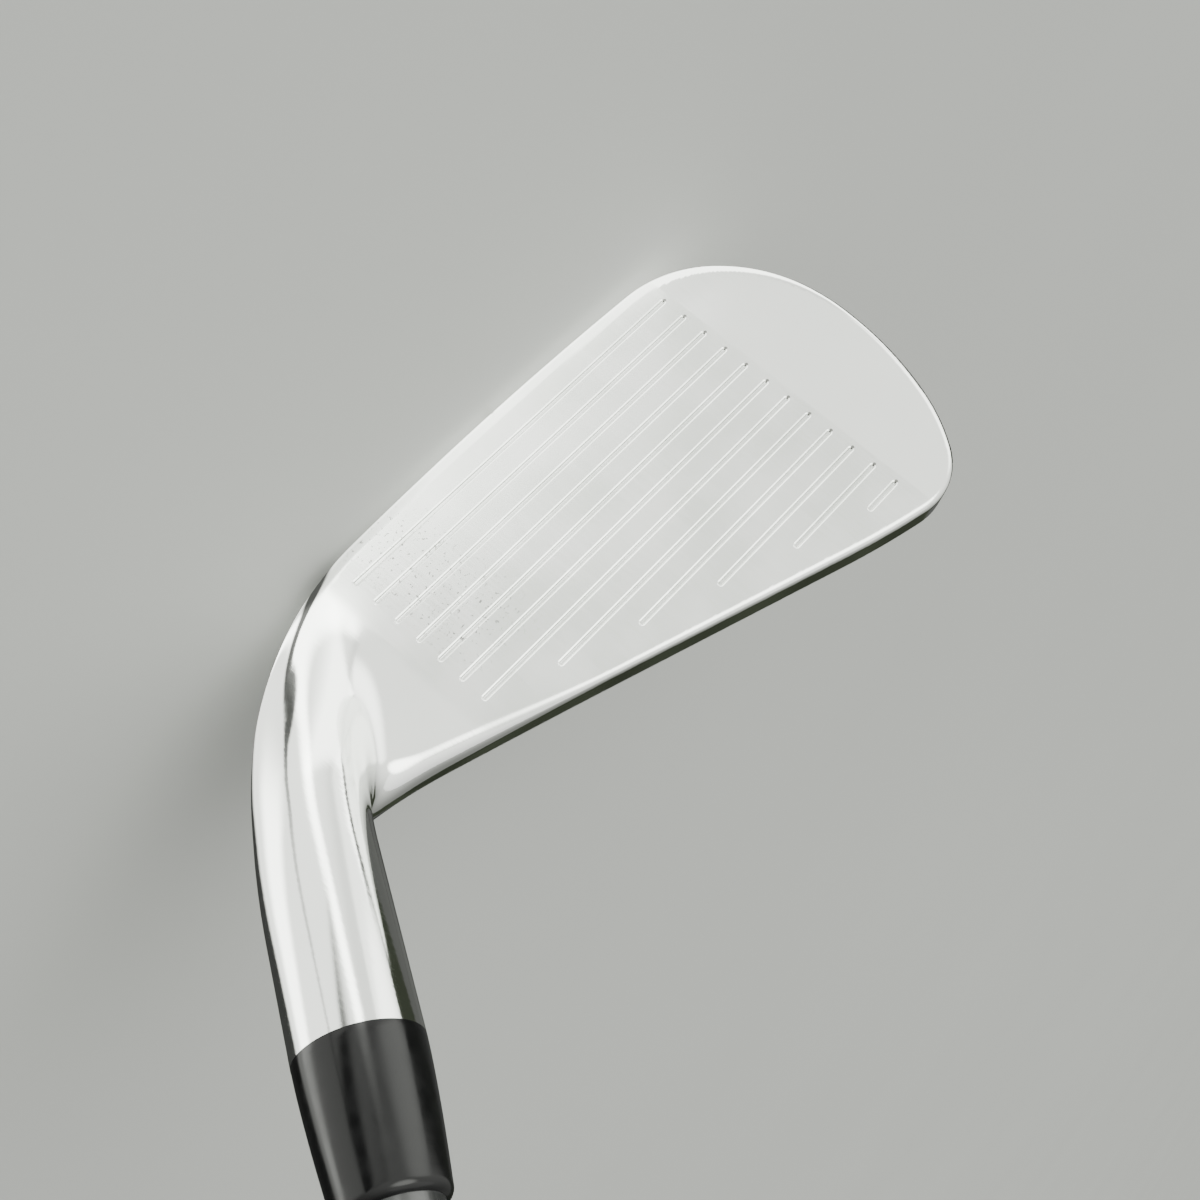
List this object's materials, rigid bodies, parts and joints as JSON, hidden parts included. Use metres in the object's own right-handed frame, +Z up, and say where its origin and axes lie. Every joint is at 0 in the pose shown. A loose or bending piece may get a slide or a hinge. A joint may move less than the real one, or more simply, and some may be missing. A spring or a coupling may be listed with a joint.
{
  "type": "iron golf club",
  "caption": "Right-handed long iron: thin plated blade with a grooved face, round hosel, black ferrule, dark tapered shaft and rubber grip.",
  "frame": {"origin": "where the shaft's axis meets the ground with the club soled at address", "axes": "+Z up from the ground; the face looks towards -Y; the toe points towards -X and the shaft leans towards +X at the lie angle, in the XZ plane"},
  "size_m": [0.5808, 0.0313, 0.8672],
  "materials": {
    "plated_steel": "nickel-chrome plated steel; the middle of the face is fine satin, the rest is polished",
    "epoxy": "cured epoxy",
    "tip_brass": "turned",
    "ferrule_plastic": "black, polished",
    "shaft_composite": "dark grey lacquer over carbon fibre",
    "tape": "creped paper tape",
    "grip_rubber": "moulded texture",
    "cap_rubber": "smooth"
  },
  "bodies": {
    "root": {"iron_head": "plated_steel", "hosel_bond": "epoxy", "tip_weight": "tip_brass", "ferrule": "ferrule_plastic", "shaft": "shaft_composite", "grip_tape": "tape", "grip_sleeve": "grip_rubber", "grip_cap": "cap_rubber"}
  },
  "joints": []
}
